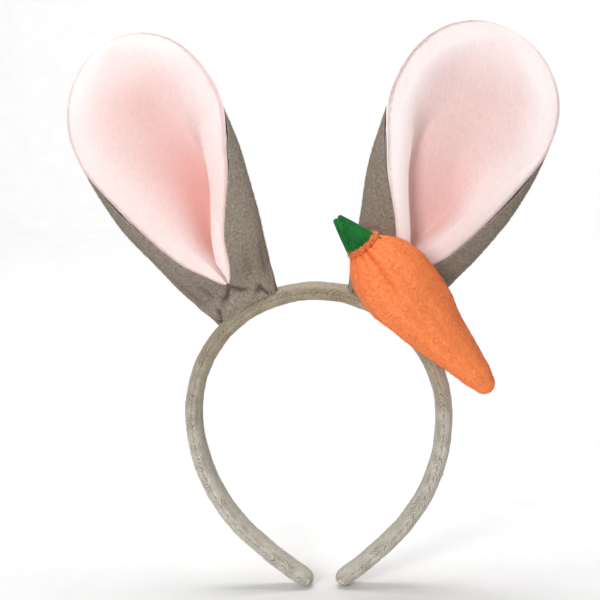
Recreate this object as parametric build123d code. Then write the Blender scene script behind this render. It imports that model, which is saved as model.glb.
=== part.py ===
"""Plush rabbit ears headband with a stuffed carrot, as separate pieces, in millimetres.

Frame: +Z up, +X to the wearer's left (the viewer's right), the front faces -Y.
Origin: the inner face of the band at the middle of its crown, where it sits on the head.
"""
from build123d import *
import math
import os

# ---------------------------------------------------------------- driving dimensions
# Band: a crown arc, then a flatter leg arc and a nearly straight tip arc on each side.
BAND_THICKNESS = 8.0
CROWN_RADIUS = 61.0          # of the band's middle line
LEG_RADIUS = 86.0
LEG_TURN = 45.4              # degrees turned by the leg arc
TIP_RADIUS = 200.0
TIP_TURN = 9.7
CROWN_WIDTH = 18.2           # front to back
TIP_WIDTH = 12.6
EDGE_ROUND = 2.3             # rounding of the plush cover's long edges
SPONGE_ROUND = 1.7           # and of the sponge inside it
FLEX_ANGLE = 62.0            # from straight up, where each arm begins to flex
FLEX_GAP = 0.3

# Each band layer: thickness across the head side, and how far its edges lie inside the cover's.
COVER_CAVITY = (5.8, 1.1)
SPONGE_OUTSIDE = (5.6, 1.2)
SPONGE_CHANNEL = (2.0, 2.6)
CORE_STRIP = (1.8, 2.75)

# Ears: height above the band, largest half width and half depth of the rolled cup.
EAR_HEIGHT = 141.6
EAR_HALF_WIDTH = 42.7
EAR_HALF_DEPTH = 10.0
EAR_WIDEST = 94.7            # height of the widest place
FOOT_HALF_WIDTH = 19.5
FOOT_HALF_DEPTH = 9.0
EAR_BOW = 3.0                # the middle of the ear bows outwards
FOOT_ANGLE = 31.3            # place of each foot on the crown arc, from straight up
EAR_LEAN = 26.0              # outwards
EAR_PITCH = 4.0              # backwards
EAR_TURN = 18.0              # opening turned outwards
RIM_START = 11.5             # height of the V where the opening begins
RIM_SLOPE = 0.075            # how fast the rim falls back with height
LAYER_FRACTIONS = (0.0, 0.09, 0.2, 0.33, 0.46, 0.57, 0.67, 0.77, 0.86, 0.92)

OUTER_PLUSH = (0.0, 1.2)     # inner and outer inset of each fabric layer of an ear
STIFFENER = (1.35, 2.35)
LINING_PLUSH = (2.5, 3.6)
HEM_WALL = (0.0, 2.2)
WIRE_BAND = (0.2, 1.5)       # how far behind the rim the flat wire runs
STIFFENER_SETBACK = 1.8
WIRE_END_HEIGHT = 24.0

# Ear tilt: the shell's lower edge is a cylinder about the tilt axis, just outside the one that
# the hem and its stitches stay in. The axis follows the band's tangent, a little above its
# outer face.
TILT_AXIS_HEIGHT = 4.0
HEM_REACH = 9.8
STITCH_REACH = 10.7
SHELL_REACH = 11.4
BAND_CLEARANCE = 0.1

# Carrot: from the middle of its gathered end to its point.
CARROT_TOP = (27.0, -34.0, 30.2)
CARROT_POINT = (83.6, -17.5, -43.0)
CARROT_RADII = ((0.12, 15.0), (0.31, 18.0), (0.48, 15.2), (0.69, 10.3), (0.88, 7.0),
                (0.965, 4.4))
CARROT_NECK = 6.0
CARROT_SKIN = 1.2
STUFFING_GAP = 0.4
THREAD = 1.2

# Leaves: two felt triangles standing out of the gathered end.
LEAF_LENGTH = 21.0
LEAF_ROOT = 15.0
LEAF_FELT = 1.3
LEAF_CLEARANCE = 1.2         # between the gather thread and the felt

# Tack that holds the carrot on the right foot hem, and the carrot's rocking axis.
TACK_PLACE = (38.0, 0.0)
TACK_SPACING = 2.2
TACK_LENGTH = 1.6

STITCH = (2.6, 0.25)         # length and radius of one sewing stitch
SEAM_PITCH = 5.0             # degrees between stitches along the crown
FOOT_STITCHES = 14
FOOT_STITCH_OFFSET = 0.6     # outside the hem
FOOT_STITCH_LENGTH = 1.0

# ---------------------------------------------------------------- worked out from them
HALF_BAND = BAND_THICKNESS / 2
OUTER_RADIUS = CROWN_RADIUS + HALF_BAND
CROWN_CENTRE = (0.0, HALF_BAND - CROWN_RADIUS)


def on_arc(centre, radius, angle):
    """Point (x, z) on an arc, with the angle measured from straight up towards +X."""
    turn = math.radians(angle)
    return (centre[0] + radius * math.sin(turn), centre[1] + radius * math.cos(turn))


LEG_CENTRE = on_arc(CROWN_CENTRE, CROWN_RADIUS - LEG_RADIUS, 90.0)
TIP_CENTRE = on_arc(LEG_CENTRE, LEG_RADIUS - TIP_RADIUS, 90.0 + LEG_TURN)
ARM_ARCS = (
    (CROWN_CENTRE, CROWN_RADIUS, FLEX_ANGLE, 90.0),
    (LEG_CENTRE, LEG_RADIUS, 90.0, 90.0 + LEG_TURN),
    (TIP_CENTRE, TIP_RADIUS, 90.0 + LEG_TURN, 90.0 + LEG_TURN + TIP_TURN),
)
FLEX_POINT = on_arc(CROWN_CENTRE, CROWN_RADIUS, FLEX_ANGLE)
FOOT_POINT = on_arc(CROWN_CENTRE, OUTER_RADIUS, FOOT_ANGLE)
TILT_POINT = on_arc(CROWN_CENTRE, OUTER_RADIUS + TILT_AXIS_HEIGHT, FOOT_ANGLE)
TIP_END = on_arc(TIP_CENTRE, TIP_RADIUS, ARM_ARCS[-1][3])


# ---------------------------------------------------------------- band
def arc_between(centre, radius, start, end):
    middle = (start + end) / 2
    return ThreePointArc(on_arc(centre, radius, start), on_arc(centre, radius, middle),
                         on_arc(centre, radius, end))


def round_end(centre, radius, angle, half, way):
    """Half circle across the strip; way is +1 at the far end and -1 at the near one."""
    turn = math.radians(angle)
    middle = on_arc(centre, radius, angle)
    outermost = (middle[0] + way * half * math.cos(turn), middle[1] - way * half * math.sin(turn))
    return ThreePointArc(on_arc(centre, radius + half, angle), outermost,
                         on_arc(centre, radius - half, angle))


def flex_pin(radius):
    """Cylinder along Y about the right arm's flex axis."""
    place = Plane(origin=(FLEX_POINT[0], 0, FLEX_POINT[1]), z_dir=(0, 1, 0))
    return place * Cylinder(radius, 2 * CROWN_WIDTH)


def crown_block(thickness, inset):
    """Arc of the crown between the two flex axes, hollowed at its ends to clear the arms."""
    half = thickness / 2
    outline = Curve() + [
        arc_between(CROWN_CENTRE, CROWN_RADIUS + half, -FLEX_ANGLE, FLEX_ANGLE),
        arc_between(CROWN_CENTRE, CROWN_RADIUS - half, -FLEX_ANGLE, FLEX_ANGLE),
        Line(on_arc(CROWN_CENTRE, CROWN_RADIUS - half, FLEX_ANGLE),
             on_arc(CROWN_CENTRE, CROWN_RADIUS + half, FLEX_ANGLE)),
        Line(on_arc(CROWN_CENTRE, CROWN_RADIUS - half, -FLEX_ANGLE),
             on_arc(CROWN_CENTRE, CROWN_RADIUS + half, -FLEX_ANGLE)),
    ]
    face = make_face(Plane.XZ * outline)
    return extrude(face, amount=CROWN_WIDTH / 2 - inset, both=True)


def arm_block(thickness, inset):
    """Right arm, rounded about its flex axis and at its tip, narrowing towards the tip."""
    half = thickness / 2
    last = ARM_ARCS[-1]
    edges = [round_end(CROWN_CENTRE, CROWN_RADIUS, FLEX_ANGLE, half, -1),
             round_end(last[0], last[1], last[3], half, 1)]
    for centre, radius, start, end in ARM_ARCS:
        edges.append(arc_between(centre, radius + half, start, end))
        edges.append(arc_between(centre, radius - half, start, end))
    strip = extrude(make_face(Plane.XZ * (Curve() + edges)), amount=CROWN_WIDTH, both=True)
    top = FLEX_POINT[1]
    bottom = TIP_END[1]
    slope = (CROWN_WIDTH - TIP_WIDTH) / 2 / (top - bottom)
    above = CROWN_WIDTH / 2 - inset + slope * CROWN_WIDTH
    below = TIP_WIDTH / 2 - inset - slope * CROWN_WIDTH
    taper = Plane.YZ * make_face(Polyline(
        (-above, top + CROWN_WIDTH), (above, top + CROWN_WIDTH),
        (below, bottom - CROWN_WIDTH), (-below, bottom - CROWN_WIDTH), close=True))
    return strip & extrude(taper, amount=2 * CROWN_RADIUS, both=True)


def side_edges(block):
    """Curved edges that run round the front and back faces."""
    return block.edges().filter_by(lambda edge: abs(edge.center().Y) > TIP_WIDTH / 3
                                   and edge.geom_type != GeomType.LINE)


def end_hollows(block):
    pin = flex_pin(HALF_BAND + FLEX_GAP)
    return block - pin - mirror(pin, about=Plane.YZ)


def band_pieces():
    """Core strip, sponge wrap and plush cover of the crown and of the right arm."""
    crown = {}
    arm = {}
    for block, pieces in ((crown_block, crown), (arm_block, arm)):
        cover = block(BAND_THICKNESS, 0.0)
        cover = fillet(side_edges(cover), EDGE_ROUND)
        pieces["cover"] = cover - block(*COVER_CAVITY)
        sponge = block(*SPONGE_OUTSIDE)
        sponge = fillet(side_edges(sponge), SPONGE_ROUND)
        pieces["sponge"] = sponge - block(*SPONGE_CHANNEL)
        pieces["core"] = block(*CORE_STRIP)
    for name, piece in crown.items():
        crown[name] = end_hollows(piece)
    return crown, arm


def stitch_at(place, direction, length=STITCH[0], radius=STITCH[1]):
    return Plane(origin=place, z_dir=direction) * Cylinder(radius, length)


def band_half_width(height):
    """Half the cover's width at a height on an arm."""
    share = (FLEX_POINT[1] - height) / (FLEX_POINT[1] - TIP_END[1])
    return (CROWN_WIDTH - (CROWN_WIDTH - TIP_WIDTH) * share) / 2


def edge_stitch(centre, radius, angle, half_width):
    """One stitch lying along the middle of the band's front edge."""
    turn = math.radians(angle)
    x, z = on_arc(centre, radius, angle)
    place = (x, -half_width - 1.4 * STITCH[1], z)
    return stitch_at(place, (math.cos(turn), 0, -math.sin(turn)))


def seam_stitches():
    """Stitches that close the cover along the front edge: on the crown, and on the right arm."""
    count = int(FLEX_ANGLE / SEAM_PITCH) - 1
    crown = [edge_stitch(CROWN_CENTRE, CROWN_RADIUS, step * SEAM_PITCH, CROWN_WIDTH / 2)
             for step in range(-count, count + 1)]
    arm = []
    for centre, radius, start, end in ARM_ARCS:
        pitch = SEAM_PITCH * CROWN_RADIUS / radius
        for step in range(int((end - start) / pitch)):
            angle = start + (step + 0.8) * pitch
            height = on_arc(centre, radius, angle)[1]
            arm.append(edge_stitch(centre, radius, angle, band_half_width(height)))
    return Compound(children=crown), Compound(children=arm)


# ---------------------------------------------------------------- ears
def ear_half_width(share):
    """Half width at a share of the height: a steady swell, then a full rounded top."""
    widest = EAR_WIDEST / EAR_HEIGHT
    if share > widest:
        return EAR_HALF_WIDTH * math.sqrt(1 - ((share - widest) / (1 - widest)) ** 2.4)
    swell = math.sin(math.pi / 2 * share / widest) ** 1.13
    return FOOT_HALF_WIDTH + (EAR_HALF_WIDTH - FOOT_HALF_WIDTH) * swell


def ear_half_depth(share):
    """Half depth of the cup: nearly even, closing round at the tip."""
    full = EAR_HALF_DEPTH - (EAR_HALF_DEPTH - FOOT_HALF_DEPTH) * (1 - share) ** 6
    return full * math.sqrt(1 - share ** 6)


def ear_form(inset):
    """Closed form of the ear, shrunk by an inset, standing on the origin along +Z."""
    closing = (1 - ((inset + 0.8) / EAR_HALF_DEPTH) ** 2) ** (1 / 6)
    shares = [share for share in LAYER_FRACTIONS if share < closing - 0.04] + [closing]
    foot = Ellipse(FOOT_HALF_WIDTH - inset, FOOT_HALF_DEPTH - inset)
    sections = [Pos(0, 0, -HALF_BAND - 3) * foot]
    for share in shares:
        bow = 4 * EAR_BOW * share * (1 - share)
        section = Ellipse(ear_half_width(share) - inset, ear_half_depth(share) - inset)
        sections.append(Pos(bow, 0, share * EAR_HEIGHT) * section)
    return loft(sections)


def ear_wall(insets):
    return ear_form(insets[0]) - ear_form(insets[1])


def in_front_of_rim(setback):
    """Everything in front of the opening's rim plane, moved back by a setback."""
    high = EAR_HEIGHT + 10
    start = -ear_half_depth(RIM_START / EAR_HEIGHT) + setback
    end = start + RIM_SLOPE * (high - RIM_START)
    front = -4 * EAR_HALF_DEPTH
    side = Plane.YZ * make_face(Polyline((start, RIM_START), (end, high), (front, high),
                                         (front, RIM_START), close=True))
    return extrude(side, amount=2 * EAR_HALF_WIDTH, both=True)


def on_right_foot(shape):
    """Place a form that stands on the origin on the right foot of the band."""
    return (Pos(FOOT_POINT[0], 0, FOOT_POINT[1]) * Rot(0, EAR_LEAN, 0)
            * Rot(-EAR_PITCH, 0, 0) * Rot(0, 0, EAR_TURN) * shape)


def tilt_cylinder(radius):
    """Cylinder about the right ear's tilt axis, which follows the band's tangent."""
    turn = math.radians(FOOT_ANGLE)
    place = Plane(origin=(TILT_POINT[0], 0, TILT_POINT[1]),
                  z_dir=(math.cos(turn), 0, -math.sin(turn)))
    return place * Cylinder(radius, 3 * EAR_HALF_WIDTH)


def below_tilt_axis():
    """Everything under the right ear's tilt axis."""
    size = 4 * EAR_HALF_WIDTH
    return (Pos(TILT_POINT[0], 0, TILT_POINT[1]) * Rot(0, FOOT_ANGLE, 0)
            * Pos(0, 0, -size / 2) * Box(size, size, size))


def under_foot():
    """The band under the ears, with a little clearance."""
    place = Plane(origin=(0, 0, CROWN_CENTRE[1]), z_dir=(0, 1, 0))
    return place * Cylinder(OUTER_RADIUS + BAND_CLEARANCE, 3 * CROWN_WIDTH)


def ear_pieces():
    """Fabric shells, stiffener, rim wire and foot hem of the right ear."""
    keep_clear = tilt_cylinder(SHELL_REACH) + below_tilt_axis()
    stiff_wall = ear_wall(STIFFENER)
    outer = ear_wall(OUTER_PLUSH) - in_front_of_rim(0.0)
    lining = ear_wall(LINING_PLUSH) - in_front_of_rim(0.0)
    stiffener = stiff_wall - in_front_of_rim(STIFFENER_SETBACK)
    wire = (stiff_wall & in_front_of_rim(WIRE_BAND[1])) - in_front_of_rim(WIRE_BAND[0])
    below_wire_ends = Pos(0, 0, WIRE_END_HEIGHT - 50) * Box(200, 100, 100)
    hem = on_right_foot(ear_wall(HEM_WALL)) & tilt_cylinder(HEM_REACH)
    return {
        "ear_outer": on_right_foot(outer) - keep_clear,
        "ear_stiffener": on_right_foot(stiffener) - keep_clear,
        "ear_rim_wire": on_right_foot(wire - below_wire_ends),
        "ear_lining": on_right_foot(lining) - keep_clear,
        "ear_foot_hem": hem - under_foot(),
    }


def foot_stitches():
    """Stitches round the right foot, just outside the hem where it meets the cover."""
    twist = math.radians(EAR_TURN)
    stitches = []
    for step in range(FOOT_STITCHES):
        turn = 2 * math.pi * (step + 0.5) / FOOT_STITCHES
        wide = (FOOT_HALF_WIDTH + FOOT_STITCH_OFFSET) * math.cos(turn)
        deep = (FOOT_HALF_DEPTH + FOOT_STITCH_OFFSET) * math.sin(turn)
        along = wide * math.cos(twist) - deep * math.sin(twist)
        across = wide * math.sin(twist) + deep * math.cos(twist)
        fall = TILT_AXIS_HEIGHT + along ** 2 / (2 * OUTER_RADIUS)
        reach = math.sqrt(STITCH_REACH ** 2 - fall ** 2)
        across = max(-reach, min(reach, across))
        angle = FOOT_ANGLE + math.degrees(along / OUTER_RADIUS)
        x, z = on_arc(CROWN_CENTRE, OUTER_RADIUS + FOOT_STITCH_LENGTH / 2 + BAND_CLEARANCE, angle)
        out = math.radians(angle)
        direction = (math.sin(out), 0, math.cos(out))
        stitches.append(stitch_at((x, across, z), direction, FOOT_STITCH_LENGTH))
    return Compound(children=stitches)


# ---------------------------------------------------------------- carrot
CARROT_LENGTH = math.dist(CARROT_TOP, CARROT_POINT)
CARROT_AXIS = tuple((b - a) / CARROT_LENGTH for a, b in zip(CARROT_TOP, CARROT_POINT))


def on_carrot(shape):
    """Place a form whose gathered end is at the origin, pointing along +Z."""
    return Plane(origin=CARROT_TOP, z_dir=CARROT_AXIS) * shape


def carrot_form(inset):
    """Solid of revolution: flat gathered end, full shoulder, rounded point."""
    low = (CARROT_NECK - inset, inset)
    high = (0.0, CARROT_LENGTH - inset)
    swell = [(radius - inset, share * CARROT_LENGTH) for share, radius in CARROT_RADII]
    side = Spline(low, *swell, high)
    outline = Curve() + [Line((0, inset), low), side, Line(high, (0, inset))]
    return revolve(make_face(Plane.XZ * outline), axis=Axis.Z)


def gather_thread():
    """Turn of thread pulled tight round the neck, just off the skin's flat end."""
    ring = Torus(CARROT_NECK - THREAD, THREAD / 2)
    return on_carrot(Pos(0, 0, -THREAD / 2 - 0.1) * ring)


def leaf(tilt, swing, lift, scale_by):
    """Felt triangle whose root stands on the gathered end, leaning and swinging a little."""
    face = make_face(Polyline((-LEAF_ROOT / 2, 0), (LEAF_ROOT / 2, 0),
                              (0.0, LEAF_LENGTH), close=True))
    flat = extrude(scale(face, by=scale_by), amount=LEAF_FELT / 2, both=True)
    upright = Rot(90, 0, 0) * flat
    return Pos(0, lift, -THREAD - LEAF_CLEARANCE) * Rot(180 + tilt, 0, 0) * Rot(0, swing, 0) * upright


def carrot_pieces():
    skin = carrot_form(0.0) - carrot_form(CARROT_SKIN)
    return {
        "carrot_skin": on_carrot(skin),
        "carrot_stuffing": on_carrot(carrot_form(CARROT_SKIN + STUFFING_GAP)),
        "carrot_gather_thread": gather_thread(),
        "carrot_leaf_front": on_carrot(leaf(4.0, 0.0, -1.9, 1.0)),
        "carrot_leaf_back": on_carrot(leaf(-3.0, 6.0, 1.9, 0.92)),
    }


def tack_stitches():
    """Three thread shanks between the right foot hem and the carrot's back."""
    front = -FOOT_HALF_DEPTH - 1.3
    shanks = []
    for step in (-1, 0, 1):
        turn = math.radians(FOOT_ANGLE)
        x = TACK_PLACE[0] + step * TACK_SPACING * math.cos(turn)
        z = TACK_PLACE[1] - step * TACK_SPACING * math.sin(turn)
        place = (x, front - TACK_LENGTH / 2, z)
        shanks.append(stitch_at(place, (0, 1, 0), TACK_LENGTH, THREAD / 2))
    return Compound(children=shanks)


# ---------------------------------------------------------------- nodes
def build():
    crown, arm = band_pieces()
    crown_seam, arm_seam = seam_stitches()
    nodes = {f"band_{name}_crown": piece for name, piece in crown.items()}
    nodes["band_seam_stitches_crown"] = crown_seam
    sided = {f"band_{name}_{{}}_arm": piece for name, piece in arm.items()}
    sided["band_seam_stitches_{}_arm"] = arm_seam
    for name, piece in ear_pieces().items():
        sided["{}_" + name] = piece
    sided["{}_ear_foot_stitches"] = foot_stitches()
    for name, piece in sided.items():
        nodes[name.format("right")] = piece
        nodes[name.format("left")] = mirror(piece, about=Plane.YZ)
    nodes.update(carrot_pieces())
    nodes["carrot_tack_stitches"] = tack_stitches()
    return nodes


os.makedirs("parts", exist_ok=True)
for name, piece in build().items():
    export_step(piece, f"parts/{name}.step")
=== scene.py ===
import math

import bmesh
import bpy
import numpy as np
from mathutils import Matrix, Vector, noise


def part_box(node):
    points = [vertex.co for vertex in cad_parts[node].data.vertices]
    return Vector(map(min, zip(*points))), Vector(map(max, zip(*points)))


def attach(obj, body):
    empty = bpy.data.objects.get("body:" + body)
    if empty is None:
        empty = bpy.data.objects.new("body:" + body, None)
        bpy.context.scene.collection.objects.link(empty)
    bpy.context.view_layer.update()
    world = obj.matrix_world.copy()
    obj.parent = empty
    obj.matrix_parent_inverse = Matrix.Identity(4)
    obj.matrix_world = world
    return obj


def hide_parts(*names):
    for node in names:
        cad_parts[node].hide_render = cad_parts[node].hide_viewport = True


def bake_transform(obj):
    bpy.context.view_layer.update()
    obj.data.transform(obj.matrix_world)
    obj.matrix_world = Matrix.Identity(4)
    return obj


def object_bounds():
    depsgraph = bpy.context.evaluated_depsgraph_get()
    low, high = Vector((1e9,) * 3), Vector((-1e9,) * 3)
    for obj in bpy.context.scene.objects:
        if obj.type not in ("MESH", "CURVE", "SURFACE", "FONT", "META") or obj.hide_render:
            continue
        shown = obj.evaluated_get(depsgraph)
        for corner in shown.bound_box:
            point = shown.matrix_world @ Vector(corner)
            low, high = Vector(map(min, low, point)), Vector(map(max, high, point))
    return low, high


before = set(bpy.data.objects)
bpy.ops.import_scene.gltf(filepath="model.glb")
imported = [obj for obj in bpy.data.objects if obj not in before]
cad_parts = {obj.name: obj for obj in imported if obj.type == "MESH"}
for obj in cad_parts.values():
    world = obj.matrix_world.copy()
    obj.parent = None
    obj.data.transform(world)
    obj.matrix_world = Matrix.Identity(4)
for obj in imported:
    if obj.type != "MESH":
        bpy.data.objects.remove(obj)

# Shapes are worked out in millimetres in the part's own frame and turned into metres by mesh_piece.
MM = 0.001
cad_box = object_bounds()

# ---------------------------------------------------------------- sizes shared with the CAD model
HALF_BAND = 4.0
CROWN_RADIUS = 61.0
CROWN_CENTRE_Z = HALF_BAND - CROWN_RADIUS
LEG_RADIUS = 86.0
LEG_TURN = math.radians(45.4)
TIP_RADIUS = 200.0
TIP_TURN = math.radians(9.7)
CROWN_HALF_WIDTH = 9.1
TIP_HALF_WIDTH = 6.3
FLEX_TURN = math.radians(62.0)
FOOT_TURN = math.radians(31.3)

EAR_HEIGHT = 141.6
EAR_HALF_WIDTH = 42.7
EAR_HALF_DEPTH = 10.0
EAR_WIDEST = 94.7
FOOT_HALF_WIDTH = 19.5
FOOT_HALF_DEPTH = 9.0
EAR_BOW = 3.0
EAR_LEAN = math.radians(26.0)
EAR_PITCH = math.radians(4.0)
EAR_TURN = math.radians(18.0)
V_HEIGHT = 11.5  # height of the point where the pink lining starts

CARROT_TOP = np.array((27.0, -34.0, 30.2))
CARROT_POINT = np.array((83.6, -17.5, -43.0))

# How many strands of nap are grown on each piece.
BAND_STRANDS = 44000
EAR_STRANDS = 42000
LINING_STRANDS = 14000
CARROT_STRANDS = 38000
RAW_EDGE_STRANDS = 1300


# ---------------------------------------------------------------- small tools
def smooth(value, low=0.0, high=1.0):
    """0 below low, 1 above high, and a smooth turn between them."""
    share = np.clip((value - low) / (high - low), 0, 1)
    return share * share * (3 - 2 * share)


def wrapped_turn(turn):
    """The same turn, from half a turn back to half a turn ahead."""
    return (turn + math.pi) % (2 * math.pi) - math.pi


def unit(vectors):
    return vectors / np.maximum(np.linalg.norm(vectors, axis=-1, keepdims=True), 1e-9)


def ripple(points, size, shift=0.0):
    """Soft noise from about -1 to 1 at each point, with lumps of that size in millimetres."""
    flat = points.reshape(-1, 3) / size + shift
    values = [noise.noise(Vector(place)) for place in flat]
    return np.array(values).reshape(points.shape[:-1]) * 1.6


def normals_of(grid, wrapped=False):
    """Unit normals of a grid of points, rows first."""
    along = np.gradient(grid, axis=0)
    if wrapped:
        across = np.roll(grid, -1, axis=1) - np.roll(grid, 1, axis=1)
    else:
        across = np.gradient(grid, axis=1)
    return unit(np.cross(along, across))


def mesh_piece(name, points, faces, material, layers=None):
    """A mesh object from points in millimetres. layers are numbers or vectors kept on the points."""
    mesh = bpy.data.meshes.new(name)
    mesh.from_pydata((np.asarray(points).reshape(-1, 3) * MM).tolist(), [], faces)
    mesh.polygons.foreach_set("use_smooth", [True] * len(mesh.polygons))
    for layer, values in (layers or {}).items():
        values = np.asarray(values, dtype=np.float32)
        kind = "FLOAT_VECTOR" if values.ndim == 2 else "FLOAT"
        field = "vector" if values.ndim == 2 else "value"
        mesh.attributes.new(layer, kind, "POINT").data.foreach_set(field, values.ravel())
    mesh.materials.append(material)
    mesh.validate()
    piece = bpy.data.objects.new(name, mesh)
    bpy.context.scene.collection.objects.link(piece)
    return piece


def face_out(piece):
    """Turns a closed mesh's faces so that they look outwards."""
    shape = bmesh.new()
    shape.from_mesh(piece.data)
    bmesh.ops.recalc_face_normals(shape, faces=shape.faces)
    shape.to_mesh(piece.data)
    shape.free()


def ring_faces(rows, columns, closed_ends=True):
    """Quads between rings of points, and one face over each end unless the ends are left open."""
    faces = []
    for row in range(rows - 1):
        for column in range(columns):
            beside = (column + 1) % columns
            faces.append((row * columns + column, row * columns + beside,
                          (row + 1) * columns + beside, (row + 1) * columns + column))
    if closed_ends:
        faces.append(tuple(range(columns))[::-1])
        faces.append(tuple((rows - 1) * columns + column for column in range(columns)))
    return faces


EDGE_TURNS = (math.radians(45), math.radians(90), math.radians(135))


def layer_piece(name, grid, thickness, material, pile, extra=None, towards=1.0):
    """A layer of fabric: the grid is its shown face, and its back lies a thickness behind it.

    Its long sides are rounded and its ends are closed. pile is a grid of vectors, across the
    nap and along it; extra is a grid of vectors of which the first two are the share of painted
    shade and the pale share, a painted highlight on the pink lining.
    """
    rows, columns = grid.shape[:2]
    thick = np.broadcast_to(thickness, rows)[:, None]
    normal = normals_of(grid) * towards
    back = grid - normal * thick[:, None]
    rings = [grid]
    marks = [pile]
    colours = [extra if extra is not None else np.zeros((rows, columns, 2))]
    for side, inner in ((-1, -2), (0, 1)):
        outward = unit(grid[:, side] - grid[:, inner])
        middle = (grid[:, side] + back[:, side]) / 2
        turns = EDGE_TURNS if side == -1 else EDGE_TURNS[::-1]
        round_edge = [middle + (outward * math.sin(turn) + normal[:, side] * math.cos(turn))
                      * thick / 2 for turn in turns]
        rings.append(np.stack(round_edge, axis=1))
        marks.append(np.repeat(pile[:, side:][:, :1], len(turns), axis=1))
        colours.append(np.repeat(colours[0][:, side:][:, :1], len(turns), axis=1))
        if side == -1:
            rings.append(back[:, ::-1])
            marks.append(pile[:, ::-1])
            colours.append(colours[0][:, ::-1])
    points = np.concatenate(rings, axis=1)
    around = points.shape[1]
    faces = ring_faces(rows, around, closed_ends=False)
    edge = len(EDGE_TURNS)
    for row, flip in ((0, True), (rows - 1, False)):
        first = row * around
        for column in range(columns - 1):
            other = 2 * columns + edge - 1 - column
            face = (first + column, first + column + 1, first + other - 1, first + other)
            faces.append(face[::-1] if flip else face)
        ends = (tuple(first + columns - 1 + step for step in range(edge + 2)),
                tuple(first + (2 * columns + edge - 1 + step) % around for step in range(edge + 2)))
        for face in ends:
            faces.append(face[::-1] if flip else face)
    layers = {"pile": np.concatenate(marks, axis=1).reshape(-1, 3),
              "shade_amount": np.concatenate(colours, axis=1)[..., 0].reshape(-1),
              "pale": np.concatenate(colours, axis=1)[..., 1].reshape(-1)}
    piece = mesh_piece(name, points, faces, material, layers)
    face_out(piece)
    return piece


def tube_along(path, radius, sides=8):
    """Points and faces of a closed tube along a path, thinner towards its round ends."""
    path = np.asarray(path, dtype=float)
    ahead = unit(np.gradient(path, axis=0))
    helper = np.where(np.abs(ahead[:, 1:2]) < 0.9, (0.0, 1.0, 0.0), (1.0, 0.0, 0.0))
    side = unit(np.cross(ahead, helper))
    up = np.cross(ahead, side)
    count = len(path)
    thin = np.ones(count)
    thin[[0, -1]] = 0.45
    turns = np.arange(sides) * 2 * math.pi / sides
    ring = (side[:, None] * np.cos(turns)[None, :, None] + up[:, None] * np.sin(turns)[None, :, None])
    points = path[:, None] + ring * (radius * thin)[:, None, None]
    return points.reshape(-1, 3), ring_faces(count, sides)


def threads_piece(name, paths, radius, material, sides=8):
    """Many short threads in one piece."""
    points = []
    faces = []
    total = 0
    for path in paths:
        more, quads = tube_along(path, radius, sides)
        points.append(more)
        faces.extend(tuple(index + total for index in quad) for quad in quads)
        total += len(more)
    piece = mesh_piece(name, np.concatenate(points), faces, material)
    face_out(piece)
    return piece


def surface_spots(grid, count, seed, weight=None, wrapped=False):
    """Random spots on a grid: points, unit normals, and the way the rows run. Seeded."""
    chance = np.random.RandomState(seed)
    columns = grid.shape[1]
    along = np.gradient(grid, axis=0)
    if wrapped:
        across = (np.roll(grid, -1, axis=1) - np.roll(grid, 1, axis=1)) / 2
    else:
        across = np.gradient(grid, axis=1)
    area = np.linalg.norm(np.cross(along, across), axis=-1)
    if weight is not None:
        area = area * weight
    cells = area[:-1, :].ravel() if wrapped else area[:-1, :-1].ravel()
    per_row = columns if wrapped else columns - 1
    picks = chance.choice(len(cells), size=count, p=cells / cells.sum())
    row = picks // per_row
    column = picks % per_row
    beside = (column + 1) % columns
    up = chance.rand(count)[:, None]
    over = chance.rand(count)[:, None]
    low = grid[row, column] * (1 - over) + grid[row, beside] * over
    high = grid[row + 1, column] * (1 - over) + grid[row + 1, beside] * over
    normal = unit(np.cross(along, across))[row, column]
    return low * (1 - up) + high * up, normal, unit(along[row, column]), chance


def fuzz_piece(name, spots, colours, length, lean, width=0.11):
    """Pile: thin closed spikes that lean with the nap. colours are the materials it is mixed from."""
    points, normals, nap, chance = spots
    count = len(points)
    way = unit(normals + nap * lean + chance.normal(0, 0.33, (count, 3)))
    tall = length * (0.65 + 0.6 * chance.rand(count))[:, None]
    side = unit(np.cross(way, chance.normal(0, 1, (count, 3))))
    third = np.cross(way, side)
    root = points - normals * 0.15
    turns = (0.0, 2 * math.pi / 3, 4 * math.pi / 3)
    corners = [root + (side * math.cos(turn) + third * math.sin(turn)) * width for turn in turns]
    everything = np.stack(corners + [root + way * (tall + 0.15)], axis=1).reshape(-1, 3) * MM
    first = np.arange(count)[:, None] * 4
    spike = ((0, 2, 1), (0, 1, 3), (1, 2, 3), (2, 0, 3))
    triangles = np.concatenate([first + np.array(face) for face in spike], axis=1).reshape(-1)
    mesh = bpy.data.meshes.new(name)
    mesh.vertices.add(len(everything))
    mesh.vertices.foreach_set("co", everything.ravel().astype(np.float32))
    faces = len(triangles) // 3
    mesh.loops.add(len(triangles))
    mesh.loops.foreach_set("vertex_index", triangles.astype(np.int32))
    mesh.polygons.add(faces)
    mesh.polygons.foreach_set("loop_start", (np.arange(faces) * 3).astype(np.int32))
    for colour in colours:
        mesh.materials.append(colour)
    shades = np.repeat(chance.randint(0, len(colours), count), 4)
    mesh.polygons.foreach_set("material_index", shades.astype(np.int32))
    mesh.update()
    piece = bpy.data.objects.new(name, mesh)
    bpy.context.scene.collection.objects.link(piece)
    return piece


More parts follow.
